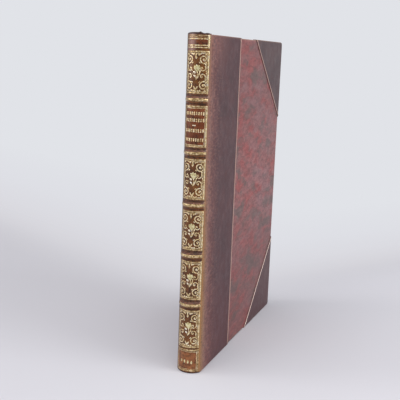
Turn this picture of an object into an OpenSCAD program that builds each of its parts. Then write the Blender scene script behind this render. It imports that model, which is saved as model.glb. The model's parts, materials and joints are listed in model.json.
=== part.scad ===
// Antique half-leather book, standing upright
// X is the thickness with the front cover at +X, Y is the depth with the spine at -Y, Z is up
// The origin is on the ground in the middle of the whole book

/* [Book] */
// Height of the covers
book_h = 250; // [180:1:340]
// Thickness over both covers
book_t = 19; // [15:0.5:45]
// Depth of a cover from the joint to the fore-edge
cover_d = 174.7; // [130:0.1:240]

/* [Boards] */
// Thickness of a board
board_t = 2.15; // [1.5:0.05:3]
// Space between the hinge line and the leather of a cover
joint_gap = 0.4; // [0.35:0.05:1]
// Space between the hinge line and a board
board_gap = 0.6; // [0.4:0.05:1.5]
// Radius of a cover's fore-edge corners
corner_r = 3; // [2:0.5:6]
// Rounding of a cover's edges
edge_r = 1; // [0.6:0.1:1.5]

/* [Leather] */
// Thickness of the leather
leather_t = 0.75; // [0.6:0.05:1.2]
// Rounding of the leather at the joint
joint_r = 0.5; // [0.3:0.05:0.6]
// Thickness of the turned-in edges inside a cover
turnin_t = 0.4; // [0.2:0.05:0.6]
// Width of the turned-in edges inside a cover
turnin_w = 15; // [10:1:25]
// Reach of the spine leather over a cover, from the joint
strip_w = 61.5; // [30:0.5:70]
// Length of the upper corner piece along the head
upper_corner_w = 76; // [40:1:90]
// Length of the upper corner piece down the fore-edge
upper_corner_h = 67.5; // [40:0.5:85]
// Length of the lower corner piece along the tail
lower_corner_w = 72; // [40:1:90]
// Length of the lower corner piece up the fore-edge
lower_corner_h = 68.5; // [40:0.5:85]

/* [Papers] */
// Thickness of the marbled paper on the sides
marbled_t = 0.25; // [0.1:0.05:0.4]
// Thickness of the paper pasted inside a cover
pastedown_t = 0.15; // [0.1:0.05:0.3]
// Border of turned-in edge left bare around the pasted paper
pastedown_margin = 4.5; // [2:0.5:8]
// Thickness of a free endpaper
flyleaf_t = 0.2; // [0.1:0.05:0.4]
// Space between a closed cover and the free endpaper
cover_gap = 0.1; // [0.05:0.05:0.3]

/* [Text block] */
// Distance of the pages below the edge of the covers at head and tail
page_square = 3; // [2:0.5:6]
// Distance of the pages behind the edge of the covers at the fore-edge
fore_square = 3.5; // [2:0.5:6]
// Hollow of the fore-edge
fore_hollow = 2.6; // [1:0.1:4]
// Reach of the backed shoulders past the hinge line
shoulder_reach = 0.3; // [0.1:0.05:0.32]

/* [Spine] */
// Rise of the rounded spine behind the joints
spine_rise = 5.2; // [3:0.1:6.5]
// Distance of the spine's sides inside the faces of the covers
spine_inset = 0.3; // [0.2:0.05:0.6]
// Depth of the groove that the leather sinks into at the joint
groove_d = 0.1; // [0.05:0.05:0.3]
// Thickness of the lining between pages and leather
lining_t = 0.6; // [0.3:0.05:1]
// Rise of the headcap above the covers
headcap_rise = 1.3; // [0.5:0.1:2.5]
// Reach of the headcap and tailcap over the end bands
cap_reach = 3.2; // [2.5:0.1:4]
// Thickness and rounding of the rolled leather of headcap and tailcap
cap_t = 1; // [0.8:0.05:1.3]
// Space between a rolled cap and the end band under it
cap_clear = 0.2; // [0.1:0.05:0.4]
// Width of the woven end bands
end_band_w = 2; // [1.4:0.1:2.4]

/* [Raised bands] */
// Width of a raised band over its leather
band_w = 5; // [4:0.1:7]
// Height of a raised band above the spine's round
band_h = 1.7; // [1:0.1:2.5]
// Rounding of the leather over a raised band
band_r = 1.45; // [1:0.05:1.9]
// Height above the even spacing of the bands, at the head
head_zone = 7.25; // [6:0.25:14]
// Height below the even spacing of the bands, at the tail
tail_zone = 16.25; // [12:0.25:24]

/* [Gilt tooling] */
// Thickness of the gilt lines and ornaments
gilt_t = 0.12; // [0.08:0.01:0.2]
// Distance of a compartment's frame from the middle of a raised band
frame_gap = 4.1; // [3.6:0.1:6]
// Distance of the frames from the sides of the spine, along the curve
frame_inset = 1.6; // [1:0.1:3]
// Width of a frame's outer line
frame_w = 0.7; // [0.4:0.05:1]
// Width of a frame's inner line
hairline_w = 0.32; // [0.2:0.02:0.5]
// Space between the outer and the inner line
line_gap = 0.5; // [0.3:0.05:0.8]
// Width of the ribbons that form the scrolls
scroll_w = 0.6; // [0.4:0.05:0.8]
// Radius of the large curl in each corner of a compartment
curl_r = 2.9; // [2.2:0.05:3.4]
// Height of the flower bud
bud_h = 5.4; // [4:0.1:6.5]
// Space of the double line over the lowest panel from that panel's upper end
tail_line = 2; // [1.6:0.1:2.6]
// Space of the double line under the head panel from that panel's lower end
head_line = 1.2; // [0.6:0.1:2.4]
// Width of the gilt line along a raised band
band_line_w = 1.7; // [0.6:0.1:2]
// Width of the gilt lines on the leather corners
fillet_w = 1.2; // [0.6:0.1:2]

/* [Hidden] */
$fn = 64;
BAND_COUNT = 5;
PLATE_FACETS = 9;
COMPARTMENTS = BAND_COUNT + 1;
TITLE_COMPARTMENT = 5;
// Rows of the title panel: height in sevenths of its half height, and marks to each side of the middle
TITLE_ROWS = [[5, 4], [2.7, 3], [-1.8, 4], [-4.8, 4]];
cut = 1;
contact = 0.02;

// Layers of a closed cover, as distances from the middle of the book
half_t = book_t / 2;
board_out = half_t - leather_t;
board_in = board_out - board_t;
turnin_in = board_in - turnin_t;
pastedown_in = turnin_in - pastedown_t;
flyleaf_out = pastedown_in - cover_gap;
block_half = flyleaf_out - flyleaf_t;

// The round of the spine and the fuller round of the bands, both through the joints
spine_half = half_t - spine_inset;
spine_r = arc_radius(spine_half, spine_rise);
band_rise = spine_rise + band_h;
band_arc_r = arc_radius(spine_half, band_rise);
lining_r = spine_r - leather_t;
back_r = lining_r - lining_t;

// Depth positions, with the whole book centred on the origin
joint_y = (band_rise + contact + gilt_t - cover_d) / 2;
spine_y = joint_y - spine_rise + spine_r;
band_y = joint_y - band_rise + band_arc_r;
cover_y0 = joint_y + joint_gap;
cover_y1 = joint_y + cover_d;
block_y1 = cover_y1 - fore_square;
strip_y = joint_y + strip_w;
shoulder_y = joint_y + shoulder_reach;
hollow_r = arc_radius(block_half, fore_hollow);

// Heights
block_z0 = page_square;
block_z1 = book_h - page_square;
head_z = book_h + headcap_rise;
end_band_h = page_square - cap_t - cap_clear;
zone_z0 = tail_zone;
zone_z1 = book_h - head_zone;
band_pitch = (zone_z1 - zone_z0) / COMPARTMENTS;

// Half width of the gilt frames along the curve of the spine
arc_half = spine_r * asin(spine_half / spine_r) * PI / 180;
frame_half = arc_half - frame_inset;
inner_inset = frame_w + line_gap + hairline_w;

function arc_radius(half_chord, rise) = (half_chord * half_chord + rise * rise) / (2 * rise);
function band_z(i) = zone_z0 + i * band_pitch;
function spine_angle(u) = u / spine_r * 180 / PI;

// A point of flat tooling, given along the curve and up, as it lies on the round spine
function on_spine(p) = [spine_r * sin(spine_angle(p.x)), p.y];
function placed(points, at = [0, 0], turn = 0, flip = [1, 1]) = [
    for (p = points) [
        flip.x * (at.x + p.x * cos(turn) - p.y * sin(turn)),
        flip.y * (at.y + p.x * sin(turn) + p.y * cos(turn))
    ]
];
function curl(centre, r0, r1, a0, a1, steps) = [
    for (i = [0 : steps]) let (t = i / steps, r = r0 + (r1 - r0) * t, a = a0 + (a1 - a0) * t)
        centre + r * [cos(a), sin(a)]
];
function bead(r, sides = 6) = [for (i = [0 : sides - 1]) r * [cos(360 * i / sides), sin(360 * i / sides)]];
function lozenge(w, h) = [[w / 2, 0], [0, h / 2], [-w / 2, 0], [0, -h / 2]];
function bar(w, h) = [[-w / 2, -h / 2], [w / 2, -h / 2], [w / 2, h / 2], [-w / 2, h / 2]];

// A leaf with its stalk at the origin and its tip at +X
function leaf(l, w) = [
    [0, 0], [l * 0.3, -w * 0.45], [l * 0.65, -w / 2], [l, 0], [l * 0.65, w / 2], [l * 0.3, w * 0.45]
];

// A flower bud with its foot at the origin, three petals wide
function bud(h) = h * [
    [0, 0], [0.26, 0.2], [0.39, 0.5], [0.36, 0.8], [0.2, 0.76], [0.06, 1],
    [-0.1, 0.8], [-0.26, 0.96], [-0.3, 0.72], [-0.42, 0.62], [-0.36, 0.36], [-0.2, 0.14]
];

// The outline of a ribbon that follows a line of points and thins out to a share of its width at both ends
function ribbon(line, w, thin = 0.6) = let (
    last = len(line) - 1,
    side = [for (i = [0 : last]) let (
        d = line[min(i + 1, last)] - line[max(i - 1, 0)],
        share = thin + (1 - thin) * sin(180 * i / last)
    ) w / 2 * share * [-d.y, d.x] / norm(d)]
) concat(
    [for (i = [0 : last]) line[i] + side[i]],
    [for (i = [last : -1 : 0]) line[i] - side[i]]
);

// Flat outlines drawn as depth and height, thickened along X
module along_x(x0, x1) {
    translate([x0, 0, 0]) rotate([90, 0, 90]) linear_extrude(x1 - x0) children();
}

// Flat outlines drawn as thickness and height, thickened along Y
module along_y(y0, y1) {
    translate([0, y1, 0]) rotate([90, 0, 0]) linear_extrude(y1 - y0) children();
}

module rect(x0, x1, y0, y1) {
    translate([x0, y0]) square([x1 - x0, y1 - y0]);
}

module soft_rect(x0, x1, y0, y1, r) {
    rect(x0 + r, x1 - r, y0, y1);
    rect(x0, x1, y0 + r, y1 - r);
    for (x = [x0 + r, x1 - r], y = [y0 + r, y1 - r]) translate([x, y]) circle(r);
}

module on_side(side) {
    if (side == "front") children();
    else mirror([1, 0, 0]) children();
}

// A cover's outline as depth and height, square at the joint and round at the fore-edge corners
module cover_outline(inset) {
    r = corner_r - inset;
    rect(cover_y0 - cut, cover_y1 - inset - r, inset, book_h - inset);
    rect(cover_y0 - cut, cover_y1 - inset, inset + r, book_h - inset - r);
    for (z = [inset + r, book_h - inset - r]) translate([cover_y1 - inset - r, z]) circle(r);
}

// The whole form of a front cover with soft edges, drawn in from the leather's surface by an inset
module cover_form(inset) {
    r = edge_r - inset / 2;
    x1 = half_t - inset;
    y1 = cover_y1 - inset;
    intersection() {
        along_x(turnin_in, x1) cover_outline(inset);
        along_y(cover_y0, y1) soft_rect(turnin_in, x1, inset, book_h - inset, r);
        linear_extrude(book_h) {
            soft_rect(turnin_in, x1, cover_y0, y1, r);
            rect(turnin_in, x1 - joint_r, cover_y0, y1 - r);
            rect(turnin_in, x1, cover_y0 + joint_r, y1 - r);
            translate([x1 - joint_r, cover_y0 + joint_r]) circle(joint_r);
        }
    }
}

// The space for the board and for the window between the turned-in edges
module board_space() {
    along_x(board_in, board_out) cover_outline(leather_t);
    window = leather_t + turnin_w;
    along_x(turnin_in - cut, board_in + cut / 2)
        rect(cover_y0 - cut, cover_y1 - window, window, book_h - window);
}

module cover_skin(inset) {
    difference() {
        cover_form(inset);
        board_space();
    }
}

// The line where a corner piece ends, as depth and height, from the head or tail to the fore-edge
function corner_line(w, h, upper, back = 0) = let (
    edge_z = upper ? book_h : 0,
    towards = upper ? -1 : 1,
    shift = back / h * norm([w, h])
) [[cover_y1 - w + shift, edge_z], [cover_y1, edge_z + towards * (h - shift * h / w)]];

module corner_zone(w, h, upper, back = 0) {
    line = corner_line(w, h, upper, back);
    past = (line[1] - line[0]) * cut / norm([w, h]);
    polygon([line[0] - past, line[1] + past, [cover_y1 + w, upper ? book_h + h : -h]]);
}

module side_zone() {
    rect(cover_y0 - cut, strip_y, -cut, book_h + cut);
}

module text_block() {
    color("#d8c9a6") translate([0, 0, block_z0]) linear_extrude(block_z1 - block_z0) difference() {
        union() {
            rect(-block_half, block_half, joint_y, block_y1);
            intersection() {
                translate([0, spine_y]) circle(back_r);
                rect(-half_t, half_t, joint_y - band_rise, shoulder_y);
            }
        }
        translate([0, block_y1 - fore_hollow + hollow_r]) circle(hollow_r);
    }
}

module flyleaf(side) {
    color("#cdbd9c") on_side(side) along_x(block_half, flyleaf_out)
        rect(cover_y0 + board_gap, block_y1, block_z0, block_z1);
}

module spine_lining() {
    color("#b9a98a") translate([0, 0, block_z0]) linear_extrude(block_z1 - block_z0) intersection() {
        translate([0, spine_y]) difference() {
            circle(lining_r);
            circle(back_r);
        }
        rect(-half_t, half_t, joint_y - band_rise, shoulder_y);
    }
}

// The part of the round that lies behind the joints and inside the grooves
module spine_region() {
    groove_x = spine_half - groove_d;
    linear_extrude(head_z) rect(-groove_x, groove_x, joint_y - band_rise - cut, shoulder_y);
}

module band_disc(i, inset) {
    w = band_w - 2 * inset;
    r = band_arc_r - inset;
    round_r = band_r - inset;
    translate([0, band_y, band_z(i)]) rotate_extrude() {
        rect(0, r - round_r, -w / 2, w / 2);
        rect(0, r, -w / 2 + round_r, w / 2 - round_r);
        for (z = [-1, 1]) translate([r - round_r, z * (w / 2 - round_r)]) circle(round_r);
    }
}

// A cord of the sewing, laid around the lining and pared away towards the joints
module raised_band(i) {
    color("#8d7a5c") intersection() {
        difference() {
            band_disc(i, leather_t);
            translate([0, spine_y, 0]) cylinder(r = lining_r, h = head_z);
        }
        spine_region();
    }
}

// The rolled end of the spine leather, with its outer edge rounded
module cap_section() {
    lip_r = cap_t / 2;
    lip = spine_r - cap_reach + lip_r;
    translate([lip, lip_r]) circle(lip_r);
    rect(lip, spine_r - cap_t, 0, cap_t);
    intersection() {
        translate([spine_r - cap_t, cap_t]) circle(cap_t);
        rect(spine_r - cap_t, spine_r, 0, cap_t);
    }
}

// Half section of the spine leather, rolled over the end bands at head and tail
module spine_section() {
    rect(back_r, spine_r, cap_t, head_z - cap_t);
    cap_section();
    translate([0, head_z]) mirror([0, 1]) cap_section();
}

module spine_leather() {
    color("#6e4636") intersection() {
        difference() {
            union() {
                translate([0, spine_y, 0]) rotate_extrude() spine_section();
                for (i = [1 : BAND_COUNT]) difference() {
                    band_disc(i, 0);
                    translate([0, spine_y, 0]) cylinder(r = lining_r - lining_t / 2, h = head_z);
                }
            }
            translate([0, spine_y, block_z0]) cylinder(r = lining_r, h = block_z1 - block_z0);
            for (i = [1 : BAND_COUNT]) band_disc(i, leather_t);
        }
        spine_region();
    }
}

// A woven band on the end of the pages, under the rolled cap
module end_band() {
    a = spine_angle(spine_half);
    out_r = back_r - cap_clear;
    round_r = end_band_h / 2;
    translate([0, spine_y, 0]) rotate([0, 0, -90 - a]) rotate_extrude(angle = 2 * a) {
        rect(out_r - end_band_w, out_r, 0, end_band_h - round_r);
        rect(out_r - end_band_w + round_r, out_r - round_r, 0, end_band_h);
        for (r = [out_r - end_band_w + round_r, out_r - round_r])
            translate([r, end_band_h - round_r]) circle(round_r);
    }
}

module head_band() {
    color("#b08d57") translate([0, 0, block_z1]) end_band();
}

module tail_band() {
    color("#b08d57") translate([0, 0, block_z0]) mirror([0, 0, 1]) end_band();
}

// An arc of flat facets that touch a circle, as points from one side of the spine to the other
function faceted_arc(r, a) = [
    for (i = [0 : PLATE_FACETS]) let (turn = a * (2 * i / PLATE_FACETS - 1))
        r / cos(a / PLATE_FACETS) * [sin(turn), -cos(turn)]
];

// A thin plate of flat facets that lies on the round of the spine between two heights
module spine_plate(z0, z1, half_w, sunk = 0) {
    a = spine_angle(half_w);
    outer = faceted_arc(spine_r + contact + gilt_t + sunk, a);
    inner = faceted_arc(spine_r + contact - sunk, a);
    translate([0, spine_y, z0]) linear_extrude(z1 - z0)
        polygon(concat(outer, [for (i = [PLATE_FACETS : -1 : 0]) inner[i]]));
}

module gilt_frame(z0, z1, half_w, w) {
    difference() {
        spine_plate(z0, z1, half_w);
        spine_plate(z0 + w, z1 - w, half_w - w, cut / 2);
    }
}

module double_frame(z0, z1) {
    step = frame_w + line_gap;
    gilt_frame(z0, z1, frame_half, frame_w);
    gilt_frame(z0 + step, z1 - step, frame_half - step, hairline_w);
}

// Flat tooling pressed onto the round of the spine, with its middle at a height
module tooled(z, half_w, half_h) {
    intersection() {
        spine_plate(z - half_h, z + half_h, half_w);
        translate([0, spine_y, z]) rotate([90, 0, 0]) linear_extrude(spine_r + cut) children();
    }
}

module stamp(points, at = [0, 0], turn = 0, flip = [1, 1]) {
    polygon([for (p = placed(points, at, turn, flip)) on_spine(p)]);
}

// A scroll that winds from a large curl in a corner to a small curl at the side, with a bead in each
module corner_scroll(half_w, half_h, unit, flip) {
    eye = unit / 6;
    large = [half_w - 0.62 * unit, half_h - 1.17 * unit];
    small = [half_w - 0.93 * unit, unit];
    steps = 10;
    turned = curl(large, eye, unit, -200, 265, steps);
    side = curl(small, 0.83 * unit, eye, 28, -290, steps - 3);
    bend = [half_w - 0.1 * unit, (large.y - unit + small.y) / 2 + 0.4 * unit];
    stamp(ribbon(turned, scroll_w), flip = flip);
    stamp(ribbon([turned[steps], bend, side[0]], scroll_w, 0.8), flip = flip);
    stamp(ribbon(side, scroll_w), flip = flip);
    for (c = [large, small]) stamp(bead(1.3 * eye), at = c, flip = flip);
    stamp(leaf(unit / 2, unit / 4), at = [half_w - 0.5 * unit, half_h - 0.35 * unit], turn = 45, flip = flip);
}

// A flower bud on its stem, with two leaves at its left and a long one at its right
module flower(h) {
    foot = [0.15, 0.1] * h;
    stamp(bud(h), at = foot, turn = 8);
    stamp(ribbon([foot, [0.2, -0.25] * h, [0.16, -0.6] * h, [0.05, -0.95] * h], scroll_w));
    stamp(leaf(0.42 * h, 0.24 * h), at = [-0.1, 0.02] * h, turn = 155);
    stamp(leaf(0.36 * h, 0.2 * h), at = [-0.12, -0.42] * h, turn = 145);
    stamp(leaf(1.1 * h, 0.16 * h), at = [0.1, -0.8] * h, turn = 66);
}

// Three beads and a drop at the top, and a foot of two leaves with beads at the bottom of a compartment
module pendant_and_foot(half_h, unit) {
    r = unit / 5;
    for (x = [-1, 0, 1]) stamp(bead(r), at = [3.3 * r * x, half_h - r]);
    stamp(leaf(4 * r, 2 * r), at = [0, half_h - 1.6 * r], turn = -90);
    for (a = [60, 120]) stamp(leaf(5 * r, 1.6 * r), at = [0, 0.6 * r - half_h], turn = a);
    for (x = [-1, 1]) stamp(bead(r), at = [4.6 * r * x, r - half_h]);
}

function compartment_of(panel) = panel < TITLE_COMPARTMENT ? panel : panel + 1;
function compartment_z0(i) = band_z(i - 1) + frame_gap;
function compartment_z1(i) = band_z(i) - frame_gap;

// A compartment with its frame and a flower between four scrolls, counted from the tail
module gilt_panel(panel) {
    i = compartment_of(panel);
    z0 = compartment_z0(i);
    z1 = compartment_z1(i);
    inset = inner_inset + line_gap / 2 + scroll_w / 2;
    half_w = frame_half - inset;
    half_h = (z1 - z0) / 2 - inset;
    unit = min(curl_r, half_h / 4.3, half_w / 2.5);
    color("#c9a668") {
        double_frame(z0, z1);
        tooled((z0 + z1) / 2, half_w + scroll_w / 2, half_h + scroll_w / 2) {
            for (sx = [-1, 1], sz = [-1, 1]) corner_scroll(half_w, half_h, unit, [sx, sz]);
            flower(min(bud_h, 2 * unit));
            pendant_and_foot(half_h, unit);
        }
    }
}

// Rows of plain lozenges, pearls and bars take the place of a title
module gilt_title_panel() {
    z0 = compartment_z0(TITLE_COMPARTMENT);
    z1 = compartment_z1(TITLE_COMPARTMENT);
    half_w = frame_half - inner_inset - line_gap;
    half_h = (z1 - z0) / 2 - inner_inset - line_gap;
    step = half_h / 7;
    pitch = half_w / 4.5;
    mark = min(0.7 * pitch, 1.4 * step);
    color("#c9a668") {
        double_frame(z0, z1);
        tooled((z0 + z1) / 2, half_w, half_h) {
            for (row = TITLE_ROWS, k = [-row[1] : row[1]])
                stamp(k % 2 == 0 ? lozenge(mark, 2 * mark) : bead(mark / 2), at = [k * pitch, row[0] * step]);
            stamp(bar(2 * mark, scroll_w), at = [0, 0.7 * step]);
        }
    }
}

module double_line(z) {
    for (s = [-1, 1]) {
        middle = z + s * (frame_w + line_gap) / 2;
        spine_plate(middle - frame_w / 2, middle + frame_w / 2, frame_half);
    }
}

module side_borders(z0, z1) {
    difference() {
        spine_plate(z0, z1, frame_half);
        spine_plate(z0 - cut, z1 + cut, frame_half - frame_w, cut / 2);
    }
}

module gilt_head_panel() {
    top = book_h - 1.5 * frame_w - line_gap;
    low = zone_z1 - head_line;
    half = frame_w + line_gap / 2;
    color("#c9a668") {
        double_line(top);
        double_line(low);
        side_borders(low + half, top - half);
    }
}

// Four small lozenges take the place of a date
module gilt_date_panel() {
    low = 1.5 * frame_w + line_gap;
    top = zone_z0 + tail_line;
    half = frame_w + line_gap / 2;
    pitch = frame_half / 3.4;
    color("#c9a668") {
        double_line(low);
        double_line(top);
        side_borders(low + half, top - half);
        tooled((low + top) / 2, frame_half - 2 * frame_w, half * 3)
            for (k = [-1.5 : 1.5]) stamp(lozenge(1.5, 2.6), at = [k * pitch, 0]);
    }
}

// A gilt line along the ridge of each raised band
module gilt_band_lines() {
    a = asin(spine_half / band_arc_r) - 8;
    outer = faceted_arc(band_arc_r + contact + gilt_t, a);
    inner = faceted_arc(band_arc_r + contact, a);
    color("#c9a668") for (i = [1 : BAND_COUNT]) translate([0, band_y, band_z(i) - band_line_w / 2])
        linear_extrude(band_line_w) polygon(concat(outer, [for (k = [PLATE_FACETS : -1 : 0]) inner[k]]));
}

module board(side) {
    color("#8c7b62") on_side(side) along_x(board_in, board_out) intersection() {
        cover_outline(leather_t);
        rect(joint_y + board_gap, cover_y1, 0, book_h);
    }
}

module board_infill(side) {
    window = leather_t + turnin_w;
    color("#c4b594") on_side(side) along_x(turnin_in, board_in)
        rect(joint_y + board_gap, cover_y1 - window, window, book_h - window);
}

module pastedown(side) {
    m = pastedown_margin;
    color("#cdbd9c") on_side(side) along_x(pastedown_in, turnin_in)
        rect(joint_y + board_gap, cover_y1 - m, m, book_h - m);
}

// The spine leather's stretch over a cover, turned in at head and tail
module leather_side(side) {
    color("#5b4542") on_side(side) intersection() {
        cover_skin(0);
        along_x(0, half_t + cut) side_zone();
    }
}

module upper_corner(side) {
    color("#5f4a49") on_side(side) intersection() {
        cover_skin(0);
        along_x(0, half_t + cut) corner_zone(upper_corner_w, upper_corner_h, true);
    }
}

module lower_corner(side) {
    color("#5f4a49") on_side(side) intersection() {
        cover_skin(0);
        along_x(0, half_t + cut) corner_zone(lower_corner_w, lower_corner_h, false);
    }
}

// The paper between the leather of the spine and the leather corners, turned in along the edges
module marbled_side(side) {
    color("#8a5a5c") on_side(side) difference() {
        cover_skin(leather_t - marbled_t);
        along_x(0, half_t + cut) {
            side_zone();
            corner_zone(upper_corner_w, upper_corner_h, true);
            corner_zone(lower_corner_w, lower_corner_h, false);
        }
    }
}

// The gilt lines along the slanting edges of the two corner pieces
module corner_fillets(side) {
    color("#d2b48c") on_side(side) along_x(half_t, half_t + gilt_t) intersection() {
        rect(strip_y, cover_y1 - edge_r, edge_r, book_h - edge_r);
        union() {
            difference() {
                corner_zone(upper_corner_w, upper_corner_h, true);
                corner_zone(upper_corner_w, upper_corner_h, true, fillet_w);
            }
            difference() {
                corner_zone(lower_corner_w, lower_corner_h, false);
                corner_zone(lower_corner_w, lower_corner_h, false, fillet_w);
            }
        }
    }
}

// The gilt line along the edge of the spine leather
module side_fillet(side) {
    color("#d2b48c") on_side(side) along_x(half_t, half_t + gilt_t)
        rect(strip_y - frame_w, strip_y, edge_r, book_h - edge_r);
}

text_block();
flyleaf("front");  // front_flyleaf
flyleaf("back");  // back_flyleaf
spine_lining();
spine_leather();
head_band();
tail_band();
for (i = [1 : BAND_COUNT]) {
    raised_band(i);
    gilt_panel(i);
}
gilt_title_panel();
gilt_head_panel();
gilt_date_panel();
gilt_band_lines();
for (side = ["front", "back"]) {
    board(side);
    board_infill(side);
    pastedown(side);
    leather_side(side);
    marbled_side(side);
    upper_corner(side);
    lower_corner(side);
    corner_fillets(side);
    side_fillet(side);
}
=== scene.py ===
import json
import math
import random
from contextlib import contextmanager

import bpy
import bmesh
from mathutils import Matrix, Vector, noise


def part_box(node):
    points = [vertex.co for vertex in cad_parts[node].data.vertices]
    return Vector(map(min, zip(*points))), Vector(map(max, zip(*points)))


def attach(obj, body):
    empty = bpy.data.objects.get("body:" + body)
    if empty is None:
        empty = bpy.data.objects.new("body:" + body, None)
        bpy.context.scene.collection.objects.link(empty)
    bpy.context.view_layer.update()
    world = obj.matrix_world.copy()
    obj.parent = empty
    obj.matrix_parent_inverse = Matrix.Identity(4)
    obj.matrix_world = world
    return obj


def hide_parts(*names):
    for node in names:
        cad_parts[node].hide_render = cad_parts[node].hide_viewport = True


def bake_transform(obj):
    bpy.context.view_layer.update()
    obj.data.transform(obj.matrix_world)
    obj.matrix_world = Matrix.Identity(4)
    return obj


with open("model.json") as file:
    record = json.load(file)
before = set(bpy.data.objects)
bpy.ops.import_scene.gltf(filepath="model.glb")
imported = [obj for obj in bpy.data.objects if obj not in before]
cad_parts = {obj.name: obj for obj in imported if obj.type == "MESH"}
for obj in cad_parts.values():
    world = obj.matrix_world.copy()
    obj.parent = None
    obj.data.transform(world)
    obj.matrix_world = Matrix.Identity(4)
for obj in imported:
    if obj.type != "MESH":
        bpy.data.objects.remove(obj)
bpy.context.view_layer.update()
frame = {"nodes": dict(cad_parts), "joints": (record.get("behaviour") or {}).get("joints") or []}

mm = 0.001
joint_y = frame["joints"][0]["pos_m"][1]

# Camera
# It stands a little above the book and to the right of the spine, level with the head of the book, and looks
# slightly down at the whole of it. Its place was worked out from the edges of the book in the photograph.
camera_at = Vector((194.3 * mm, joint_y - 471.4 * mm, 234.4 * mm))
camera_turn = math.radians(21.93)
camera_down = math.radians(11.28)
camera_roll = math.radians(2.06)
camera_data = bpy.data.cameras.new("camera")
camera_data.sensor_width = 36
camera_data.lens = 64.45
camera_data.clip_start = 0.02
camera = bpy.data.objects.new("camera", camera_data)
bpy.context.scene.collection.objects.link(camera)
camera.matrix_world = (
    Matrix.Translation(camera_at)
    @ Matrix.Rotation(camera_turn, 4, "Z")
    @ Matrix.Rotation(math.pi / 2 - camera_down, 4, "X")
    @ Matrix.Rotation(camera_roll, 4, "Z")
)
bpy.context.scene.camera = camera
bpy.context.scene.view_settings.view_transform = "Standard"


# Studio
# A sheet of pale paper lies under the book and sweeps up behind it. Its colour is painted darker towards the
# left, and to the camera it glows with a painted light, darkened by a painted shadow out to the left of and
# behind the book. Soft boxes stand to the left and the right of the camera, a tall narrow one further left, a
# larger one hangs overhead, and the room adds an even light.
def tone(red, green, blue):
    """A colour read as bytes, as the shader wants it."""
    parts = [v / 255 for v in (red, green, blue)]
    return tuple(v / 12.92 if v < 0.04045 else ((v + 0.055) / 1.055) ** 2.4 for v in parts) + (1.0,)


def only(*objects):
    """Deselects all but these, and makes the first of them the one that operators act on."""
    bpy.ops.object.select_all(action="DESELECT")
    for obj in objects:
        obj.select_set(True)
    if objects:
        bpy.context.view_layer.objects.active = objects[0]


@contextmanager
def editing(obj):
    """Edit mode for one object, with all of it selected, and then back."""
    only(obj)
    bpy.ops.object.mode_set(mode="EDIT")
    bpy.ops.mesh.select_all(action="SELECT")
    yield
    bpy.ops.object.mode_set(mode="OBJECT")


def pick(obj, kind, test):
    """Selects the edges or faces that pass the test, in edit mode."""
    bpy.ops.mesh.select_mode(type=kind)
    bpy.ops.mesh.select_all(action="DESELECT")
    cage = bmesh.from_edit_mesh(obj.data)
    for part in cage.edges if kind == "EDGE" else cage.faces:
        part.select_set(test(part))
    bmesh.update_edit_mesh(obj.data)


def add_node(tree, kind, inputs=None, **settings):
    """A shader node with its settings, links and fixed values. Colours are given as bytes."""
    made = tree.nodes.new(kind)
    for key, value in settings.items():
        setattr(made, key, value)
    for key, value in (inputs or {}).items():
        socket = made.inputs[key]
        if isinstance(value, bpy.types.NodeSocket):
            tree.links.new(value, socket)
        else:
            socket.default_value = tone(*value) if socket.type == "RGBA" else value
    return made


def feed(value, shader, socket="Base Color"):
    value.id_data.links.new(value, shader.inputs[socket])


def ramp(factor, *stops, interpolation="LINEAR"):
    """Numbers, or colours as bytes, that follow a pattern."""
    made = add_node(factor.id_data, "ShaderNodeValToRGB", {"Fac": factor})
    made.color_ramp.interpolation = interpolation
    points = made.color_ramp.elements
    while len(points) < len(stops):
        points.new(0.5)
    for point, (place, value) in zip(points, stops):
        point.position = place
        point.color = tone(*value) if isinstance(value, tuple) else (value, value, value, 1)
    return made.outputs["Color"]


def calculate(operation, first, *others, clamp=False):
    values = dict(enumerate((first, *others)))
    return add_node(first.id_data, "ShaderNodeMath", values, operation=operation, use_clamp=clamp).outputs[0]


def times(first, *others):
    for other in others:
        first = calculate("MULTIPLY", first, other)
    return first


def between(value, low, high, interpolation="SMOOTHSTEP"):
    """0 at low and 1 at high, whichever of the two is the larger."""
    inputs = {"Value": value, "From Min": low, "From Max": high}
    made = add_node(value.id_data, "ShaderNodeMapRange", inputs, interpolation_type=interpolation)
    return made.outputs["Result"]


def split(place):
    return add_node(place.id_data, "ShaderNodeSeparateXYZ", {0: place}).outputs


def material(name, roughness, specular=0.4, metallic=0.0):
    """A new material with its shader and the object's own coordinates, in metres."""
    made = bpy.data.materials.new(name)
    made.use_nodes = True
    shader = made.node_tree.nodes["Principled BSDF"]
    shader.inputs["Roughness"].default_value = roughness
    shader.inputs["Specular IOR Level"].default_value = specular
    shader.inputs["Metallic"].default_value = metallic
    return made, shader, add_node(made.node_tree, "ShaderNodeTexCoord").outputs["Object"]


floor_size = 6.0
sweep_up = 2.4
only()
bpy.ops.mesh.primitive_plane_add(size=floor_size, location=(0, 0, 0))
floor = bpy.context.object
floor.name = "floor"
with editing(floor):
    pick(floor, "EDGE", lambda edge: all(v.co.y > floor_size * 0.49 for v in edge.verts))
    bpy.ops.mesh.extrude_region_move(TRANSFORM_OT_translate={"value": (0, 0, sweep_up)})
bend = floor.modifiers.new("sweep", "BEVEL")
bend.width = 0.9
bend.segments = 16
bpy.ops.object.modifier_apply(modifier="sweep")
bpy.ops.object.shade_smooth()
paper, shader, place = material("studio_paper", 0.9, 0.1)
x, y, z = split(place)
# Painted shade: the paper's colour is darker towards the left, standing in for the fall of light across the
# floor.
painted_left_shade = between(x, -0.2, 0.25, "LINEAR")
feed(ramp(painted_left_shade, (0.0, (202, 201, 206)), (1.0, (211, 210, 215))), shader)
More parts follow.
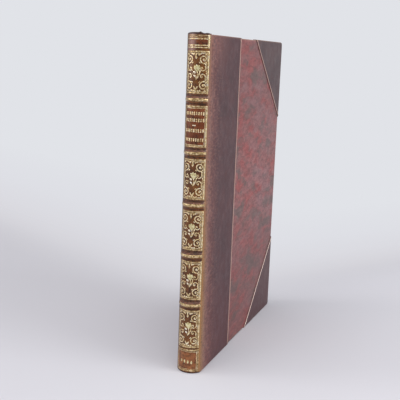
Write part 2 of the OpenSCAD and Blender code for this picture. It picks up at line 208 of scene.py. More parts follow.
# Painted light and shadow: seen by the camera and in reflections, the paper glows with a painted colour. It
# is darkest in a painted shadow that runs out to the left of and behind the book, and brighter further off.
to_left = calculate("MULTIPLY_ADD", x, 0.45, 0.11)
to_right = calculate("MULTIPLY_ADD", x, -1.3, -0.03)
far_off = calculate("ADD", y, calculate("SMOOTH_MIN", to_left, to_right, 0.08))
tree = paper.node_tree
seen = add_node(tree, "ShaderNodeLightPath").outputs
looked_at = calculate("MAXIMUM", seen["Is Camera Ray"], seen["Is Glossy Ray"])
share = times(between(far_off, 0.04, 0.22, "SMOOTHERSTEP"), looked_at)
painted_backdrop_light = ramp(
    far_off, (0.09, (204, 203, 209)), (0.17, (214, 213, 219)), (0.25, (219, 219, 225)),
    (0.36, (222, 223, 229)), (0.62, (225, 227, 232)),
)
glow = add_node(tree, "ShaderNodeEmission", {"Color": painted_backdrop_light})
both = add_node(tree, "ShaderNodeMixShader", {0: share, 1: shader.outputs[0], 2: glow.outputs[0]})
tree.links.new(both.outputs[0], tree.nodes["Material Output"].inputs["Surface"])
floor.data.materials.append(paper)

looked_to = Vector((0, -0.02, 0.12))
for name, place, wide, tall, watts, tint in (
    ("overhead_box", (0.1, -0.5, 1.3), 1.2, 1.2, 10, (1.0, 0.99, 0.98)),
    ("left_box", (-0.75, -1.0, 0.6), 0.7, 0.7, 1.8, (1.0, 0.98, 0.97)),
    ("left_strip", (-1.05, -0.52, 0.55), 0.4, 0.85, 4.0, (1.0, 0.96, 0.96)),
    ("right_box", (1.25, -0.1, 0.75), 0.8, 0.8, 8.7, (0.98, 0.99, 1.0)),
):
    lamp = bpy.data.lights.new(name, "AREA")
    lamp.shape = "RECTANGLE"
    lamp.size = wide
    lamp.size_y = tall
    lamp.energy = watts
    lamp.color = tint
    holder = bpy.data.objects.new(name, lamp)
    bpy.context.scene.collection.objects.link(holder)
    turn = (looked_to - Vector(place)).to_track_quat("-Z", "Y")
    holder.matrix_world = Matrix.Translation(place) @ turn.to_matrix().to_4x4()

room_light = 0.6
seen_light = 0.96
world = bpy.data.worlds.new("room")
bpy.context.scene.world = world
world.use_nodes = True
background = world.node_tree.nodes["Background"]
background.inputs["Color"].default_value = tone(228, 230, 236)
to_camera = add_node(world.node_tree, "ShaderNodeLightPath").outputs["Is Camera Ray"]
feed(calculate("MULTIPLY_ADD", to_camera, seen_light - room_light, room_light), background, "Strength")


# Text block
# The leaves are folded into gatherings, sewn, rounded and backed, so the back of the block bulges into the
# spine with a shoulder at each side and the fore-edge is hollow. The cut edges are toned and slightly uneven.
def stretched(place, scale):
    return add_node(place.id_data, "ShaderNodeMapping", {"Vector": place, "Scale": scale}).outputs["Vector"]


def grain(place, scale, detail, rough):
    """A cloudy pattern, stretched where it has a scale for each direction."""
    if isinstance(scale, tuple):
        place, scale = stretched(place, scale), 1.0
    inputs = {"Vector": place, "Scale": scale, "Detail": detail, "Roughness": rough}
    return add_node(place.id_data, "ShaderNodeTexNoise", inputs).outputs["Fac"]


def mixed(factor, first, second):
    tree = (first if isinstance(factor, float) else factor).id_data
    return add_node(tree, "ShaderNodeMix", {0: factor, 6: first, 7: second}, data_type="RGBA").outputs[2]


def spotted(colour, pattern, low, high, most, spots):
    """Lets another colour through where the pattern is high, up to most of it."""
    return mixed(ramp(pattern, (low, 0.0), (high, most)), colour, spots)


def relief(shader, height, depth, strength):
    """Raises the surface by a pattern, on top of what raises it already."""
    inputs = {"Height": height, "Distance": depth, "Strength": strength}
    for link in shader.inputs["Normal"].links:
        inputs["Normal"] = link.from_socket
    feed(add_node(height.id_data, "ShaderNodeBump", inputs).outputs["Normal"], shader, "Normal")


def dress(obj, *finishes):
    obj.data.materials.clear()
    for finish in finishes:
        obj.data.materials.append(finish)


def new_grid(name, columns, rows):
    """A flat grid, one metre each way, whose points are then put in place."""
    only()
    bpy.ops.mesh.primitive_grid_add(x_subdivisions=columns, y_subdivisions=rows, size=1)
    made = bpy.context.object
    made.name = name
    return made


leather_t = 0.75 * mm
spine_inset = 0.3 * mm
lining_t = 0.6 * mm
half_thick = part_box("front_leather_side")[1].x
spine_half = half_thick - spine_inset


def arc_radius(half_chord, rise):
    return (half_chord ** 2 + rise ** 2) / (2 * rise)


spine_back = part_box("spine_lining")[0].y - leather_t
spine_r = arc_radius(spine_half, joint_y - spine_back)
spine_y = spine_back + spine_r
back_r = spine_r - leather_t - lining_t
block_lo, block_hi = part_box("text_block")
page_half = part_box("front_flyleaf")[0].x
hollow = 2.6 * mm
shoulder_y = joint_y + 0.3 * mm
shoulder_half = math.sqrt(back_r ** 2 - (spine_y - shoulder_y) ** 2)
leaf_columns = 110
depth_rows = 44
shoulder_rows = 6
page_gap = 0.12 * mm
cut_uneven = 0.05 * mm


def back_of_pages(x):
    return spine_y - math.sqrt(max(back_r ** 2 - x ** 2, 0))


def front_of_pages(x):
    hollow_r = arc_radius(page_half, hollow)
    return block_hi.y - hollow + hollow_r - math.sqrt(max(hollow_r ** 2 - x ** 2, 0))


pages = new_grid("leaves", leaf_columns, depth_rows)
with editing(pages):
    bpy.ops.mesh.extrude_region_move(TRANSFORM_OT_translate={"value": (0, 0, 1)})
    bpy.ops.mesh.select_all(action="SELECT")
    bpy.ops.mesh.normals_make_consistent(inside=False)
shuffle = random.Random(5)
uneven = [[shuffle.uniform(-1, 1) for _ in range(3)] for _ in range(leaf_columns + 1)]
for v in pages.data.vertices:
    across = v.co.x * 2
    row = round((v.co.y + 0.5) * depth_rows)
    jitter = uneven[min(round((v.co.x + 0.5) * leaf_columns), leaf_columns)]
    gathering = 0.5 + 0.5 * math.cos(across * page_half / (1.1 * mm) * math.pi)
    top = v.co.z > 0.5
    if row < shoulder_rows:
        x = across * shoulder_half
        y = back_of_pages(x) + (shoulder_y - back_of_pages(x)) * row / (shoulder_rows - 1)
    else:
        x = across * page_half
        start = shoulder_y + page_gap
        share = (row - shoulder_rows) / (depth_rows - shoulder_rows)
        y = start + (front_of_pages(x) + cut_uneven * jitter[0] - start) * share
    edge = 0.035 * mm * jitter[1 if top else 2] + cut_uneven * gathering
    v.co = (x, y, block_hi.z - cut_uneven + edge if top else block_lo.z + cut_uneven - edge)
page_finish, shader, place = material("page_edges", 0.85, 0.2)
leaves = grain(place, (5200, 60, 60), 2.0, 0.6)
stains = grain(place, 45, 4.0, 0.6)
dust = grain(place, 900, 3.0, 0.6)
colour = ramp(leaves, (0.3, (186, 164, 124)), (0.5, (214, 197, 160)), (0.7, (226, 212, 180)))
colour = spotted(colour, stains, 0.45, 0.75, 0.55, (176, 146, 104))
colour = spotted(colour, dust, 0.6, 0.8, 0.35, (140, 112, 80))
feed(colour, shader)
relief(shader, leaves, 0.00008, 0.8)
dress(pages, page_finish)
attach(pages, "book_block")
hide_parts("text_block")

# Endpapers
# A folded sheet at each end of the book: one leaf is free and the other is pasted down inside the board, over
# the turned-in leather. They are plain laid paper, toned to buff, with a few brown spots.
def ribbed(place, direction, scale, distortion, detail):
    """Fine parallel ribs, as of laid paper or of a twisted cord."""
    inputs = {"Vector": place, "Scale": scale, "Distortion": distortion, "Detail": detail}
    settings = {"wave_type": "BANDS", "bands_direction": direction}
    return add_node(place.id_data, "ShaderNodeTexWave", inputs, **settings).outputs["Fac"]


endpaper_finish, shader, place = material("toned_endpaper", 0.9, 0.15)
ribs = ribbed(place, "Z", 320.0, 0.4, 1.0)
fibres = grain(place, (400, 400, 900), 4.0, 0.7)
foxing = grain(place, 60, 5.0, 0.6)
colour = ramp(fibres, (0.3, (196, 180, 148)), (0.7, (214, 201, 172)))
colour = spotted(colour, foxing, 0.52, 0.72, 0.6, (178, 148, 108))
colour = mixed(0.12, colour, ramp(ribs, (0.0, (150, 130, 100)), (1.0, (240, 230, 205))))
feed(colour, shader)
relief(shader, fibres, 0.00004, 0.6)
for node in ("front_flyleaf", "back_flyleaf", "front_pastedown", "back_pastedown"):
    dress(frame["nodes"][node], endpaper_finish)

# Boards
# Each board is a sheet of grey-brown rope-fibre millboard. A sheet of paper fills the window between the
# turned-in edges, so that the pasted endpaper lies level over both.
board_finish, shader, place = material("millboard", 0.92, 0.15)
fibres = grain(place, (1600, 260, 260), 5.0, 0.7)
specks = grain(place, 1500, 2.0, 0.5)
colour = ramp(fibres, (0.3, (112, 96, 76)), (0.7, (148, 130, 104)))
colour = spotted(colour, specks, 0.62, 0.7, 0.7, (80, 70, 60))
feed(colour, shader)
relief(shader, fibres, 0.0001, 0.7)
filler_finish, shader, place = material("filler_paper", 0.9, 0.15)
fibres = grain(place, 500, 5.0, 0.7)
feed(ramp(fibres, (0.3, (170, 154, 124)), (0.7, (196, 182, 152))), shader)
relief(shader, fibres, 0.00005, 0.6)
for side in ("front", "back"):
    dress(frame["nodes"][side + "_board"], board_finish)
    dress(frame["nodes"][side + "_board_infill"], filler_finish)
dress(frame["nodes"]["spine_lining"], filler_finish)

# Sewing cords
# The gatherings are sewn on five hemp cords, which make the raised bands. They are pared thin towards the
# joints and hidden under the leather.
cord_finish, shader, place = material("hemp_cord", 0.85, 0.2)
twist = ribbed(place, "DIAGONAL", 260.0, 1.2, 2.0)
feed(ramp(twist, (0.0, (112, 92, 62)), (1.0, (176, 152, 112))), shader)
relief(shader, twist, 0.0002, 0.8)
bands = ["raised_band_%d" % i for i in range(1, 6)]
for node in bands:
    dress(frame["nodes"][node], cord_finish)

# End bands
# A narrow cord at each end of the spine, wound closely with silk in two colours, faded gold and dull red,
# and tied down through the gatherings. The rolled leather cap of the spine shelters it.
wraps = 46
thread = 0.17 * mm
end_lo, end_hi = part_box("head_band")
band_tall = end_hi.z - end_lo.z
band_mid_r = back_r - 1.2 * mm
reach = math.asin(min(end_hi.x / band_mid_r, 1)) * 0.92
silk = []
for name, dark, light in (
    ("gold_silk", (150, 116, 66), (206, 178, 122)),
    ("red_silk", (92, 38, 34), (142, 70, 58)),
):
    finish, shader, place = material(name, 0.45, 0.5)
    strands = grain(place, 5200, 2.0, 0.6)
    feed(ramp(strands, (0.3, dark), (0.7, light)), shader)
    relief(shader, strands, 0.00003, 0.6)
    silk.append(finish)
for node, foot, up in (("head_band", end_lo.z, 1), ("tail_band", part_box("tail_band")[1].z, -1)):
    rings = []
    for i in range(wraps):
        angle = -reach + 2 * reach * i / (wraps - 1)
        x, y = band_mid_r * math.sin(angle), spine_y - band_mid_r * math.cos(angle)
        only()
        bpy.ops.mesh.primitive_torus_add(
            major_radius=band_tall / 2 - thread, minor_radius=thread, major_segments=14, minor_segments=6,
            location=(x, y, foot + up * band_tall / 2), rotation=(math.pi / 2, 0, angle + math.pi / 2),
        )
        ring = bpy.context.object
        dress(ring, *silk)
        for face in ring.data.polygons:
            face.material_index = (i // 2) % 2
        rings.append(ring)
    only(*rings)
    bpy.ops.object.join()
    winding = bpy.context.object
    winding.name = "silk_" + node
    bpy.ops.object.transform_apply(location=True, rotation=True, scale=True)
    bpy.ops.object.shade_smooth()
    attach(winding, "book_block")
    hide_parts(node)

# Spine leather
# One skin of calf is pared, damped and moulded over the lining and the cords, nipped up close at both sides
# of each band, and rolled over the end bands at head and tail. It is dry and worn, and the headcap is chafed.
# A sheen on the bands and the head panel, and shade in the creases and at head and tail, are painted into
# its colour.
skin_lo, skin_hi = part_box("spine_leather")
band_r = arc_radius(spine_half, joint_y - skin_lo.y)
band_offset = spine_y - (skin_lo.y + band_r)
band_half = 2.5 * mm
band_heights = [(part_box(node)[0].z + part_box(node)[1].z) / 2 for node in bands]
band_pitch = band_heights[1] - band_heights[0]
book_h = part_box("front_leather_side")[1].z
sheet_half = spine_r * math.asin((spine_half - 0.06 * mm) / spine_r)
cap_r = 1.0 * mm
cap_run = 1.9 * mm
turn_share = 0.6
rolls = 14
columns = 64
sink_from = 243 * mm


def band_lift(u):
    """How far a band stands off the round of the spine at a place along the curve."""
    angle = u / spine_r
    ray = band_offset * math.cos(angle) + math.sqrt(band_r ** 2 - (band_offset * math.sin(angle)) ** 2)
    return max(ray - spine_r, 0)


def band_profile(z):
    """1 on the ridge of a band, 0 on the flat and a little below 0 in the nipped crease beside it."""
    away = min(abs(z - middle) for middle in band_heights) / band_half
    ridge = max(1 - away ** 2.8, 0) ** 0.62 if away < 1 else 0
    return ridge - 0.1 * math.exp(-((away - 1.2) / 0.15) ** 2)


def leather_lift(u, z):
    """Height of the leather over the round of the spine, with the slight unevenness of the skin."""
    soft = noise.noise(Vector((u * 140, z * 90, 3.1))) * 0.05 * mm
    fine = noise.noise(Vector((u * 900, z * 900, 7.7))) * 0.012 * mm
    edge = min(max((sheet_half - abs(u)) / (1.2 * mm), 0), 1)
    return band_profile(z) * band_lift(u) + (soft + fine) * edge


def on_spine(u, z, lift):
    angle = u / spine_r
    radius = spine_r + lift
    return Vector((radius * math.sin(angle), spine_y - radius * math.cos(angle), z))


def head_height(u):
    """The headcap stands highest behind the pages, sinks to the boards at the joints, and is chafed."""
    sink = (1.0 if u > 0 else 0.45) * mm * min(abs(u) / sheet_half, 1) ** 3
    chafed = 0.5 * mm * math.exp(-((u - 5.4 * mm) / (1.5 * mm)) ** 2)
    bump = 0.5 * mm * math.exp(-((u - 2.4 * mm) / (0.8 * mm)) ** 2)
    return skin_hi.z - sink - chafed + bump


def rolled(turned, top, way):
    """Height and lift of the leather where it rolls in over the end of the spine."""
    turn = min(turned / turn_share, 1) * math.pi / 2
    run = max(turned - turn_share, 0) / (1 - turn_share)
    z = top - way * cap_r * (1 - math.cos(math.pi / 2 - turn) if turn < math.pi / 2 else 0)
    return z - way * 0.25 * mm * run ** 2, -cap_r * (1 - math.cos(turn)) - cap_run * run


def face_out(obj, axis, way):
    """Turns the faces of an open skin to look along an axis."""
    if way * sum(face.normal[axis] * face.area for face in obj.data.polygons) < 0:
        with editing(obj):
            bpy.ops.mesh.flip_normals()


def walled(obj, thickness, smooth_below=46):
    """Gives a skin its thickness, inwards from its face."""
    only(obj)
    wall = obj.modifiers.new("wall", "SOLIDIFY")
    wall.thickness = thickness
    wall.offset = -1
    if obj.vertex_groups:
        wall.vertex_group = "wall"
    bpy.ops.object.modifier_apply(modifier="wall")
    bpy.ops.object.shade_smooth_by_angle(angle=math.radians(smooth_below))


sheet_rows = []
z = cap_r
while z < book_h - cap_r:
    sheet_rows.append(z)
    z += 0.2 * mm if min(abs(z - middle) for middle in band_heights) < 3.6 * mm else 1.0 * mm
row_count = len(sheet_rows) + 2 * rolls
spine = new_grid("spine_calf", columns, row_count - 1)
for v in spine.data.vertices:
    u = v.co.x * 2 * sheet_half
    index = round((v.co.y + 0.5) * (row_count - 1))
    top = head_height(u)
    if index < rolls:
        z, lift = rolled((rolls - index) / rolls, 0.0, -1)
        lift += leather_lift(u, 0)
    elif index >= row_count - rolls:
        z, lift = rolled((index - row_count + rolls + 1) / rolls, top, 1)
        lift += leather_lift(u, book_h)
    else:
        z = sheet_rows[index - rolls]
        if z > sink_from:
            z = sink_from + (z - sink_from) * (top - cap_r - sink_from) / (sheet_rows[-1] - sink_from)
        lift = leather_lift(u, z)
    v.co = on_spine(u, z, lift)
face_out(spine, 1, -1)
walled(spine, leather_t * 0.9, 50)


def wandering(place, scale, distance, **more):
    """The place, shifted a little by clouds, so that a pattern on it is never straight."""
    clouds = add_node(place.id_data, "ShaderNodeTexNoise", {"Vector": place, "Scale": scale, **more})
    inputs = {0: clouds.outputs["Color"], 1: (distance, distance, distance), 2: place}
    return add_node(place.id_data, "ShaderNodeVectorMath", inputs, operation="MULTIPLY_ADD").outputs[0]


def cells(place, scale, feature):
    inputs = {"Vector": place, "Scale": scale}
    return add_node(place.id_data, "ShaderNodeTexVoronoi", inputs, feature=feature).outputs["Distance"]


def grained(shader, place, depth):
    """The surface of calf: fine pebbles between a net of shallow creases, and pores."""
    wander = wandering(place, 240.0, 0.0012)
    pebbles = cells(wander, 1300.0, "SMOOTH_F1")
    creases = cells(wander, 330.0, "DISTANCE_TO_EDGE")
    relief(shader, ramp(creases, (0.0, 0.0), (0.08, 1.0)), depth * 0.4, 0.4)
    relief(shader, pebbles, depth, 0.6)
    relief(shader, grain(place, 3600, 3.0, 0.6), depth * 0.3, 0.5)
    return pebbles


def within(value, start, full, fading, end):
    """1 from full to fading, and 0 before start and after end."""
    return times(between(value, start, full), between(value, end, fading))


def glazed(shader, weight):
    """The egg-white glaze that a binder polishes on."""
    shader.inputs["Coat Weight"].default_value = weight
    shader.inputs["Coat Roughness"].default_value = 0.26


spine_finish, shader, place = material("brown_calf", 0.4, 0.2)
pebbles = grained(shader, place, 0.0001)
blots = grain(place, 85, 4.0, 0.6)
scuffs = grain(place, (700, 700, 260), 4.0, 0.65)
across, depth, height = split(place)
plain = ramp(blots, (0.3, (72, 26, 2)), (0.5, (106, 47, 12)), (0.72, (138, 74, 30)))
darker = ramp(blots, (0.3, (70, 38, 2)), (0.5, (100, 56, 10)), (0.72, (136, 86, 30)))
tail = ramp(blots, (0.3, (128, 72, 34)), (0.5, (158, 98, 54)), (0.72, (180, 120, 74)))
tooled = ramp(
    calculate("DIVIDE", height, book_h), (0, 0), (0.067, 1), (0.679, 0), (0.81, 1), (0.967, 0),
    interpolation="CONSTANT",
)
plain = mixed(between(height, 15 * mm, 18 * mm), tail, plain)
colour = mixed(tooled, plain, darker)
above_band = calculate("SUBTRACT", height, band_heights[0])
from_band = calculate("PINGPONG", above_band, band_pitch / 2)
from_ridge = calculate("WRAP", above_band, band_pitch / 2, -band_pitch / 2)
# Painted sheen: the leather of each band is painted a paler pinkish brown, with orange-brown just under its
# ridge.
painted_band_sheen = ramp(blots, (0.3, (94, 56, 40)), (0.6, (122, 76, 56)), (0.8, (140, 92, 72)))
painted_band_sheen = mixed(between(from_ridge, -0.6 * mm, -1.4 * mm), painted_band_sheen, (134, 78, 30))
inside = within(height, 45 * mm, 48 * mm, 211 * mm, 214 * mm)
colour = mixed(times(between(from_band, 4.0 * mm, 3.4 * mm), inside), colour, painted_band_sheen)
# Painted shade: the nipped creases beside each band are darkened to a near-black brown.
crease = within(from_band, 1.9 * mm, 2.6 * mm, 3.1 * mm, 3.7 * mm)
colour = mixed(times(crease, inside, 0.82), colour, (56, 28, 4))
colour = spotted(colour, grain(place, 380, 4.0, 0.65), 0.46, 0.64, 0.8, (44, 24, 2))
colour = spotted(colour, scuffs, 0.5, 0.75, 0.5, (158, 96, 62))
colour = spotted(colour, pebbles, 0.1, 0.6, 0.2, (50, 26, 20))
turned = mixed(between(height, 190 * mm, 70 * mm), (146, 106, 88), (160, 118, 74))
colour = mixed(times(between(across, 7.9 * mm, 8.6 * mm), 0.85), colour, turned)
# Painted sheen: a pale pinkish patch across the left third of the spine at the head panel.
painted_sheen = within(across, -8.6 * mm, -6.6 * mm, -3 * mm, 0.5 * mm)
painted_sheen = times(painted_sheen, between(height, book_h - 16 * mm, book_h - 10 * mm), 0.62)
colour = mixed(painted_sheen, colour, (160, 122, 112))
# Painted shade and dirt: the rolled edges at head and tail are darkened to a near-black brown. This stands
# for the shade under the rounding, the contact shadow at the foot, and grime on the worn edge.
head_end = between(height, book_h - 0.5 * mm, book_h + 0.4 * mm)
tail_end = between(height, 1.6 * mm, 0.8 * mm)
colour = mixed(times(calculate("ADD", head_end, tail_end), 0.85), colour, (44, 26, 20))
# Darker towards the foot along the left edge of the spine.
darker_low_left = times(between(across, -6.8 * mm, -8.4 * mm), between(height, 8 * mm, 24 * mm), 0.75)
colour = mixed(darker_low_left, colour, (62, 46, 30))
feed(colour, shader)
feed(ramp(scuffs, (0.3, 0.34), (0.7, 0.52)), shader, "Roughness")
glazed(shader, 0.4)
dress(spine, spine_finish)
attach(spine, "book_block")
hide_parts("spine_leather")

# Gilt tooling of the spine
# Gold leaf is laid on the leather and struck with hot brass tools: frames, a scroll in each corner, a flower
# in the middle, and lines along the bands. The gold is thin, and rubbed through to the leather in places.
gold_h = 0.03 * mm
frame_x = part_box("gilt_panel_1")[1].x
strokes = []
noise.seed_set(7)


def gold_leaf(name, low, middle, high, wear):
    """Gold leaf of three tones, rubbed through to the leather by the amount of wear."""
    finish, shader, place = material(name, 0.36, 0.5, 0.75)
    rubbing = grain(place, 620, 4.0, 0.65)
    patches = grain(place, 160, 4.0, 0.6)
    colour = ramp(rubbing, (0.36, low), (0.5, middle), (0.64, high))
    worn = ramp(patches, (0.54, 0.0), (0.76, wear))
    worn = calculate("ADD", worn, ramp(rubbing, (0.58, 0.0), (0.76, wear)))
    left_edge = between(split(place)[0], 1.6 * mm - frame_x, 0.5 * mm - frame_x)
    worn = calculate("ADD", worn, times(left_edge, 0.75), clamp=True)
    feed(mixed(worn, colour, (100, 68, 44)), shader)
    feed(ramp(worn, (0.0, 0.8), (1.0, 0.2)), shader, "Metallic")
    feed(ramp(patches, (0.3, 0.24), (0.7, 0.42)), shader, "Roughness")
    glazed(shader, 0.7)
    relief(shader, rubbing, 0.00006, 0.6)
    return finish


gold = gold_leaf("worn_gold", (160, 130, 76), (240, 212, 156), (255, 249, 222), 0.45)
dull_gold = gold_leaf("rubbed_gold", (120, 94, 52), (190, 160, 108), (246, 220, 174), 0.5)
# The whitest gold is a painted highlight on two leaves of the flower. It also strikes the dash of the title.
bright_gold = gold_leaf("bright_gold", (222, 198, 160), (248, 232, 200), (255, 250, 234), 0.15)
flower_gold = gold_leaf("flower_gold", (186, 170, 114), (228, 214, 158), (250, 242, 202), 0.3)


def keep(obj, finish):
    dress(obj, finish)
    strokes.append(obj)


def stroke(points, width, taper=None, finish=gold):
    """A line of gold drawn through points given as distance along the curve and height."""
    curve = bpy.data.curves.new("gold", "CURVE")
    curve.dimensions = "3D"
    curve.bevel_depth = width / 2
    curve.bevel_resolution = 1
    curve.use_fill_caps = True
    spline = curve.splines.new("POLY")
    spline.points.add(len(points) - 1)
    for i, point in enumerate(points):
        spline.points[i].co = (point[0], point[1], 0, 1)
        spline.points[i].radius = taper(i / (len(points) - 1)) if taper else 1
    drawn = bpy.data.objects.new("gold", curve)
    bpy.context.scene.collection.objects.link(drawn)
    only(drawn)
    bpy.ops.object.convert(target="MESH")
    keep(drawn, finish)


def line(start, end, width, step=0.5 * mm, finish=dull_gold):
    start, end = Vector(start), Vector(end)
    parts = max(1, round((end - start).length / step))
    stroke([start.lerp(end, i / parts) for i in range(parts + 1)], width, finish=finish)


def level_line(z, width, finish=dull_gold):
    line((-frame_half, z), (frame_half, z), width, finish=finish)


def upright_line(u, z0, z1, width, finish=dull_gold):
    line((u, z0), (u, z1), width, finish=finish)


def rule_frame(half_u, z0, z1, width, finish):
    """Four ruled lines that meet at the corners. The upright ones are always of the fresher gold."""
    for z in (z0, z1):
        line((-half_u - width / 2, z), (half_u + width / 2, z), width, finish=finish)
    for u in (-half_u, half_u):
        upright_line(u, z0 - width / 2, z1 + width / 2, width, gold)


def drop(u, z, long, wide, turn=0.0, bulge=0.3 * mm, finish=gold):
    """A leaf, petal or bead, struck solid: pointed at its far end if it is long."""
    only()
    bpy.ops.mesh.primitive_uv_sphere_add(segments=10, ring_count=6, radius=1, location=(0, 0, 0))
    leaf = bpy.context.object
    for v in leaf.data.vertices:
        pinch = 1 - 0.55 * max(v.co.y, 0) ** 2 if long > wide * 1.2 else 1
        x, y = v.co.x * wide / 2 * pinch, v.co.y * long / 2
        v.co = (u + x * math.cos(turn) - y * math.sin(turn), z + x * math.sin(turn) + y * math.cos(turn),
                v.co.z * bulge)
    keep(leaf, finish)


def spiral(centre, r0, r1, a0, a1, steps):
    points = []
    for i in range(steps + 1):
        share = i / steps
        r = r0 + (r1 - r0) * share
        a = math.radians(a0 + (a1 - a0) * share)
        points.append(Vector((centre[0] + r * math.cos(a), centre[1] + r * math.sin(a))))
    return points


def laid(name, surface):
    """Joins the strokes drawn so far and lays them on a surface, a point at a time."""
    only(*strokes)
    if len(strokes) > 1:
        bpy.ops.object.join()
    gilt = bpy.context.object
    gilt.name = name
    strokes.clear()
    for v in gilt.data.vertices:
        v.co = surface(*v.co)
    with editing(gilt):
        bpy.ops.mesh.remove_doubles(threshold=0.01 * mm)
        bpy.ops.mesh.normals_make_consistent(inside=False)
    bpy.ops.object.shade_smooth()
    return gilt


def on_leather(u, z, h):
    """The place of a stroke on the leather of the spine, a little shaken by the hand."""
    shake = noise.noise_vector(Vector((u * 260, z * 260, 2.3))) * 0.16 * mm
    u, z = u + shake.x, z + shake.y
    return on_spine(u, z, leather_lift(u, z) + gold_h + h * 0.2)


def pressed(name, node):
    gilt = laid(name, on_leather)
    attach(gilt, "book_block")
    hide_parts(node)


def heights(node):
    return [corner.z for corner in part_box(node)]


frame_half = spine_r * math.asin(frame_x / (spine_r + 0.14 * mm))
frame_w = 1.25 * mm
hair_w = 0.42 * mm
inner_gap = 1.75 * mm


def double_frame(z0, z1):
    rule_frame(frame_half - frame_w / 2, z0 + frame_w / 2, z1 - frame_w / 2, frame_w, dull_gold)
    rule_frame(frame_half - inner_gap, z0 + inner_gap, z1 - inner_gap, hair_w, gold)


unit = 2.9 * mm
half_w = frame_half - inner_gap - 0.45 * mm
panel_z0, panel_z1 = heights("gilt_panel_1")
half_h = (panel_z1 - panel_z0) / 2 - inner_gap - 0.45 * mm


def swelling(share):
    return 0.5 + 0.62 * math.sin(math.pi * share)


def corner_scroll(middle, across_sign, up_sign):
    """An S of gold: a large curl in the corner of the panel and a small one at its side, each with a bead."""
    large = Vector((half_w - 0.62 * unit, half_h - 1.17 * unit))
    small = Vector((half_w - 0.93 * unit, unit))
    points = spiral(large, unit / 6, unit, -200, 265, 40)
    side = spiral(small, 0.83 * unit, unit / 6, 28, -290, 28)
    start, pull, end = points[-1], Vector((half_w + 0.1 * unit, large.y - unit)), side[0]
    for t in (0.2, 0.4, 0.6, 0.8):
        points.append(start * (1 - t) ** 2 + pull * 2 * t * (1 - t) + end * t ** 2)
    points += side
    stroke([Vector((p.x * across_sign, middle + p.y * up_sign)) for p in points], 0.78 * mm, swelling)
    for centre, size in ((large, 1.2 * mm), (small, 1.05 * mm)):
        drop(centre.x * across_sign, middle + centre.y * up_sign, size, size, bulge=0.5 * mm)
    for x, y, long, wide, turn in (
        (half_w - 0.16 * unit, half_h - 0.12 * unit, 1.7 * mm, 0.9 * mm, -0.8),
        (half_w - 0.06 * unit, large.y - 0.78 * unit, 1.5 * mm, 0.85 * mm, -2.5),
        (large.x - 0.98 * unit, large.y - 0.86 * unit, 1.6 * mm, 0.75 * mm, 0.9),
        (large.x - 0.8 * unit, half_h + 0.02 * unit, 1.5 * mm, 0.75 * mm, -1.1),
        (half_w + 0.05 * unit, 0.28 * unit, 1.1 * mm, 0.7 * mm, 0.5),
        (small.x - 0.62 * unit, small.y - 0.55 * unit, 0.8 * mm, 0.7 * mm, 0.0),
    ):
        turned = turn * across_sign * up_sign + (0 if up_sign > 0 else math.pi)
        drop(x * across_sign, middle + y * up_sign, long, wide, turned)


def flower(middle):
    """A bud of three petals on its stem, with two leaves at the left and a long one at the right."""
    foot = Vector((1.15 * mm, 0.5 * mm))
    lean = 0.13

    def sprig(bends, width, taper=None):
        stroke([Vector((u * mm, middle + z * mm)) for u, z in bends], width, taper)

    for x, y, long, wide, turn in (
        (-1.25, 2.8, 3.8, 2.2, 0.4), (1.25, 2.7, 3.6, 2.2, -0.3),
        (0.0, 3.1, 4.1, 2.3, 0.06), (0.0, 1.5, 3.0, 3.0, 3.2),
    ):
        u = foot.x + (x * math.cos(lean) - y * math.sin(lean)) * mm
        z = middle + foot.y + (x * math.sin(lean) + y * math.cos(lean)) * mm
        drop(u, z, long * mm, wide * mm, turn + lean, 0.45 * mm, flower_gold)
    sprig(((1.1, 0.8), (1.2, -0.6), (1.1, -2.0), (0.8, -3.5), (0.3, -5.1)), 0.5 * mm)
    # Painted highlight: the two leaves at the left are struck in the whitest gold, for the glint they catch.
    drop(-1.1 * mm, middle + 0.05 * mm, 2.4 * mm, 1.7 * mm, 1.15, 0.7 * mm, bright_gold)
    drop(-0.9 * mm, middle - 2.4 * mm, 2.1 * mm, 1.4 * mm, 1.0, 0.7 * mm, bright_gold)
    sprig(((0.5, -4.6), (-0.3, -3.3), (-1.0, -2.3)), 0.5 * mm)
    sprig(
        ((0.5, -4.7), (1.3, -3.6), (2.1, -2.0), (2.8, -0.2), (3.1, 1.3)), 0.85 * mm,
        lambda share: 0.45 + 0.7 * math.sin(math.pi * share),
    )


def pendant_and_foot(middle):
    top, bottom = middle + half_h, middle - half_h
    for u in (-1.95, 0.0, 1.95):
        drop(u * mm, top - 0.3 * mm, 1.35 * mm, 1.2 * mm, bulge=0.5 * mm)
    drop(0, top - 2.2 * mm, 2.5 * mm, 1.5 * mm, math.pi)
    for side in (-1, 1):
        drop(side * 0.85 * mm, bottom + 1.9 * mm, 3.1 * mm, 1.1 * mm, -side * 0.5)
        drop(side * 1.5 * mm, bottom + 0.1 * mm, 1.7 * mm, 0.9 * mm, -side * 1.25)
        drop(side * 3.2 * mm, bottom + 0.3 * mm, 1.1 * mm, 1.0 * mm)
    drop(0, bottom + 0.6 * mm, 2.2 * mm, 1.2 * mm)


for panel in range(1, 6):
    node = "gilt_panel_%d" % panel
    z0, z1 = heights(node)
    middle = (z0 + z1) / 2
    double_frame(z0, z1)
    for across_sign in (-1, 1):
        for up_sign in (-1, 1):
            corner_scroll(middle, across_sign, up_sign)
    flower(middle)
    pendant_and_foot(middle)
    pressed("gold_panel_%d" % panel, node)

